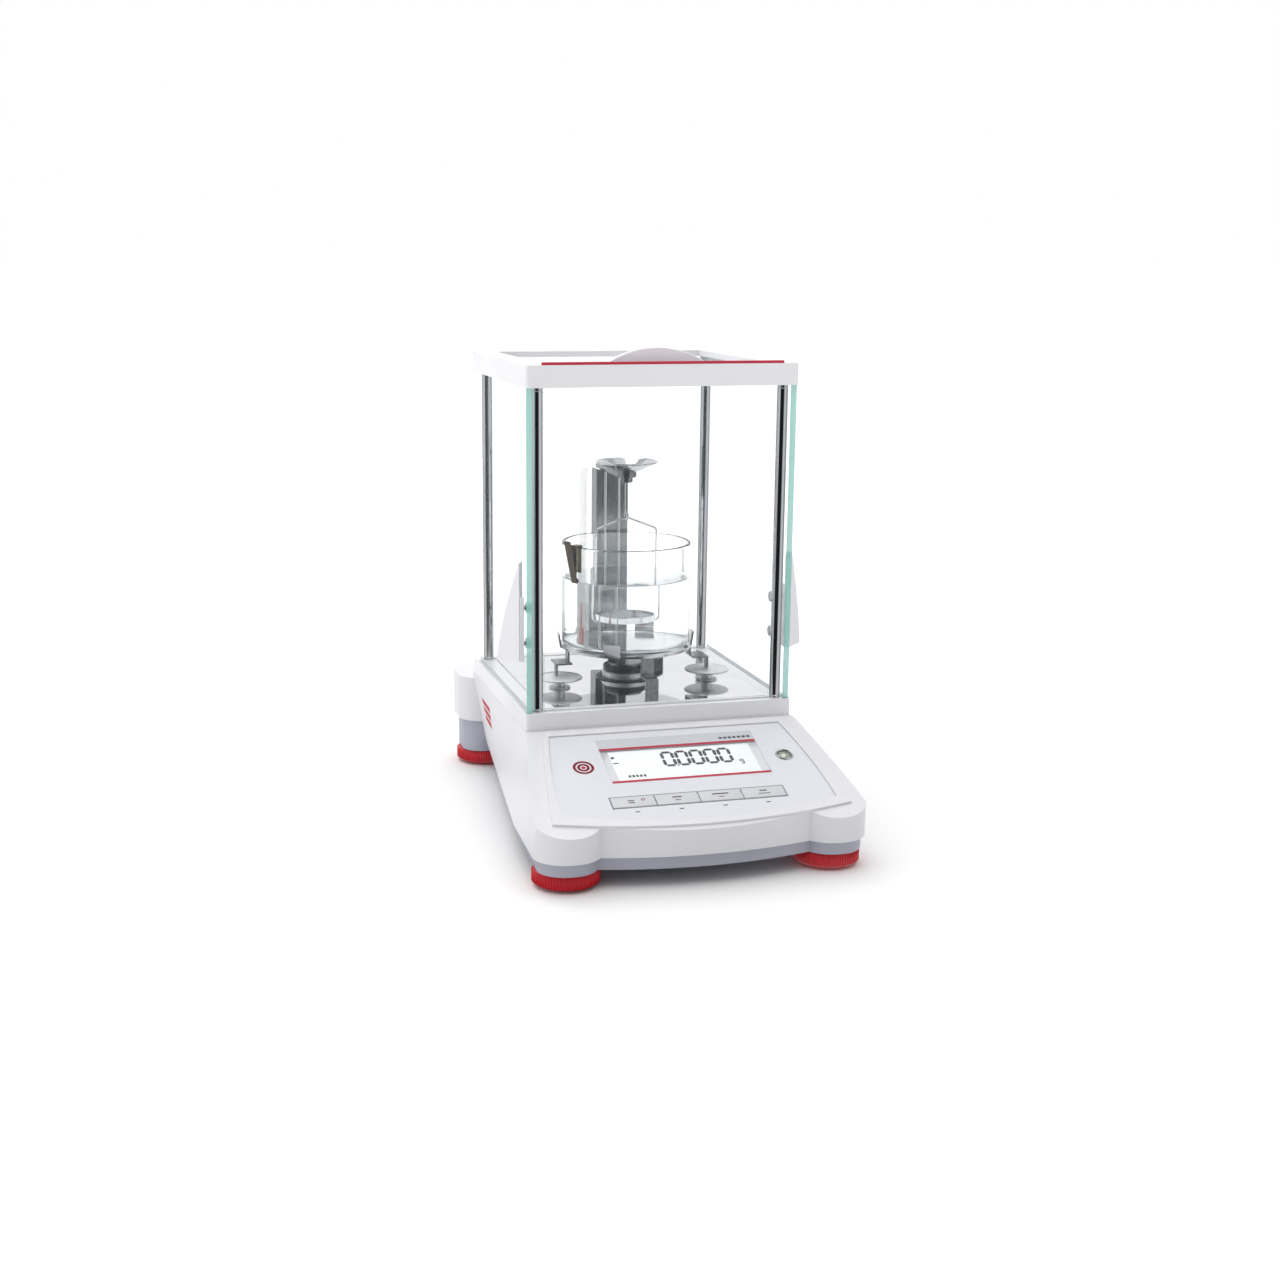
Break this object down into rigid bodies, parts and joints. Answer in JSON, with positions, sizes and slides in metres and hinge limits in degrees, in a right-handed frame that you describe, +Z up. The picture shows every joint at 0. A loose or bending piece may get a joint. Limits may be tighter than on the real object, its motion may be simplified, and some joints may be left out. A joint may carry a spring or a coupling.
{
  "type": "analytical balance",
  "caption": "Laboratory analytical balance with a sliding-door glass weighing chamber, sloping key panel with display, levelling feet and a density kit with beaker and thermometer.",
  "frame": {"origin": "on the table, under the centre of the case's length and width", "axes": "+X to the right as seen by the person weighing, +Y to the back along the length, +Z up"},
  "size_m": [0.2086, 0.321, 0.309],
  "materials": {
    "housing_white": "satin",
    "tray_grey": "satin",
    "frame_white": "satin",
    "overlay_grey": "satin",
    "lens_clear": "polished",
    "lcd": "gloss",
    "board": "gloss",
    "key_grey": "satin",
    "level_metal": "satin",
    "vial_glass": "polished",
    "cell_aluminium": "machined",
    "magnet_iron": "machined",
    "coil_copper": "wound",
    "socket_black": "satin",
    "screw_steel": "satin",
    "mirror_steel": "mirror polished",
    "seal_black": "satin",
    "stripe_red": "satin",
    "post_chrome": "polished",
    "chamber_glass": "polished",
    "handle_white": "satin",
    "kit_steel": "polished",
    "kit_dark_steel": "brushed",
    "lab_glass": "polished",
    "spirit_red": "gloss",
    "clip_brown": "satin",
    "foot_red": "satin",
    "pad_rubber": "matte"
  },
  "bodies": {
    "case": {"lower_housing": "tray_grey", "upper_housing": "housing_white", "housing_screws": "screw_steel", "keypad_overlay": "overlay_grey", "display_lens": "lens_clear", "lcd_module": "lcd", "main_board": "board", "level_housing": "level_metal", "level_vial": "vial_glass", "load_cell_block": "cell_aluminium", "magnet_pot": "magnet_iron", "power_jack": "socket_black", "serial_port": "socket_black", "lower_frame": "frame_white", "chamber_floor": "mirror_steel", "floor_collar": "seal_black", "top_frame": "frame_white", "top_stripe": "stripe_red", "corner_posts": "post_chrome", "front_glass": "chamber_glass", "rear_glass": "chamber_glass", "stand_platform": "kit_steel", "stand_legs": "kit_steel", "stand_discs": "kit_steel", "beaker": "lab_glass", "thermometer_tube": "lab_glass", "thermometer_column": "spirit_red", "thermometer_clip": "clip_brown"},
    "left_door": {"left_door_glass": "chamber_glass", "left_door_handle": "handle_white", "left_door_fixings": "screw_steel"},
    "right_door": {"right_door_glass": "chamber_glass", "right_door_handle": "handle_white", "right_door_fixings": "screw_steel"},
    "top_door": {"top_door_glass": "chamber_glass", "top_door_handle": "handle_white"},
    "weighing_bracket": {"hanger_post": "kit_steel", "bracket_hub": "kit_steel", "hub_cushion": "seal_black", "bracket_column": "kit_dark_steel", "bracket_top_arm": "kit_steel", "upper_dish": "kit_steel", "hook_rod": "kit_steel"},
    "sample_holder": {"holder_frame": "kit_steel", "holder_dish": "kit_steel"},
    "force_lever": {"lever_beam": "cell_aluminium", "force_coil": "coil_copper"},
    "zero_key": {"key_zero": "key_grey"},
    "print_key": {"key_print": "key_grey"},
    "function_key": {"key_function": "key_grey"},
    "tare_key": {"key_tare": "key_grey"},
    "front_left_pad": {"foot_pad_front_left": "pad_rubber"},
    "front_left_wheel": {"foot_wheel_front_left": "foot_red"},
    "front_right_pad": {"foot_pad_front_right": "pad_rubber"},
    "front_right_wheel": {"foot_wheel_front_right": "foot_red"},
    "rear_left_pad": {"foot_pad_rear_left": "pad_rubber"},
    "rear_left_wheel": {"foot_wheel_rear_left": "foot_red"},
    "rear_right_pad": {"foot_pad_rear_right": "pad_rubber"},
    "rear_right_wheel": {"foot_wheel_rear_right": "foot_red"}
  },
  "joints": [
    {"name": "left_door_slide", "type": "slide", "parent": "case", "child": "left_door", "axis": [0, 1, 0], "range_m": [0, 0.125]},
    {"name": "right_door_slide", "type": "slide", "parent": "case", "child": "right_door", "axis": [0, 1, 0], "range_m": [0, 0.125]},
    {"name": "top_door_slide", "type": "slide", "parent": "case", "child": "top_door", "axis": [0, 1, 0], "range_m": [0, 0.13]},
    {"name": "zero_key_press", "type": "slide", "parent": "case", "child": "zero_key", "axis": [0, 0.342, -0.9397], "range_m": [0, 0.0004], "stiffness_N_per_m": 800},
    {"name": "print_key_press", "type": "slide", "parent": "case", "child": "print_key", "axis": [0, 0.342, -0.9397], "range_m": [0, 0.0004], "stiffness_N_per_m": 800},
    {"name": "function_key_press", "type": "slide", "parent": "case", "child": "function_key", "axis": [0, 0.342, -0.9397], "range_m": [0, 0.0004], "stiffness_N_per_m": 800},
    {"name": "tare_key_press", "type": "slide", "parent": "case", "child": "tare_key", "axis": [0, 0.342, -0.9397], "range_m": [0, 0.0004], "stiffness_N_per_m": 800},
    {"name": "weigh_travel", "type": "slide", "parent": "case", "child": "weighing_bracket", "axis": [0, 0, -1], "range_m": [0, 0.0005], "stiffness_N_per_m": 12000, "springref_m": -0.00022},
    {"name": "holder_swing", "type": "hinge", "parent": "weighing_bracket", "child": "sample_holder", "pos_m": [0, 0.0282, 0.193], "axis": [1, 0, 0], "range_deg": [-3, 3]},
    {"name": "lever_tilt", "type": "hinge", "parent": "case", "child": "force_lever", "pos_m": [0, 0.05, 0.041], "axis": [1, 0, 0], "range_deg": [0, 1.4]},
    {"name": "front_left_foot_rise", "type": "slide", "parent": "case", "child": "front_left_pad", "axis": [0, 0, -1], "range_m": [0, 0.004]},
    {"name": "front_left_foot_turn", "type": "hinge", "parent": "front_left_pad", "child": "front_left_wheel", "pos_m": [-0.0825, -0.1363, 0], "axis": [0, 0, -1], "range_deg": [0, 1152]},
    {"name": "front_right_foot_rise", "type": "slide", "parent": "case", "child": "front_right_pad", "axis": [0, 0, -1], "range_m": [0, 0.004]},
    {"name": "front_right_foot_turn", "type": "hinge", "parent": "front_right_pad", "child": "front_right_wheel", "pos_m": [0.0825, -0.1363, 0], "axis": [0, 0, -1], "range_deg": [0, 1152]},
    {"name": "rear_left_foot_rise", "type": "slide", "parent": "case", "child": "rear_left_pad", "axis": [0, 0, -1], "range_m": [0, 0.004]},
    {"name": "rear_left_foot_turn", "type": "hinge", "parent": "rear_left_pad", "child": "rear_left_wheel", "pos_m": [-0.076, 0.136, 0], "axis": [0, 0, -1], "range_deg": [0, 1152]},
    {"name": "rear_right_foot_rise", "type": "slide", "parent": "case", "child": "rear_right_pad", "axis": [0, 0, -1], "range_m": [0, 0.004]},
    {"name": "rear_right_foot_turn", "type": "hinge", "parent": "rear_right_pad", "child": "rear_right_wheel", "pos_m": [0.076, 0.136, 0], "axis": [0, 0, -1], "range_deg": [0, 1152]}
  ],
  "couplings": [
    {"joint": "lever_tilt", "follows": "weigh_travel", "rad_per_m": 45.87},
    {"joint": "front_left_foot_turn", "follows": "front_left_foot_rise", "rad_per_m": 5026.5},
    {"joint": "front_right_foot_turn", "follows": "front_right_foot_rise", "rad_per_m": 5026.5},
    {"joint": "rear_left_foot_turn", "follows": "rear_left_foot_rise", "rad_per_m": 5026.5},
    {"joint": "rear_right_foot_turn", "follows": "rear_right_foot_rise", "rad_per_m": 5026.5}
  ]
}
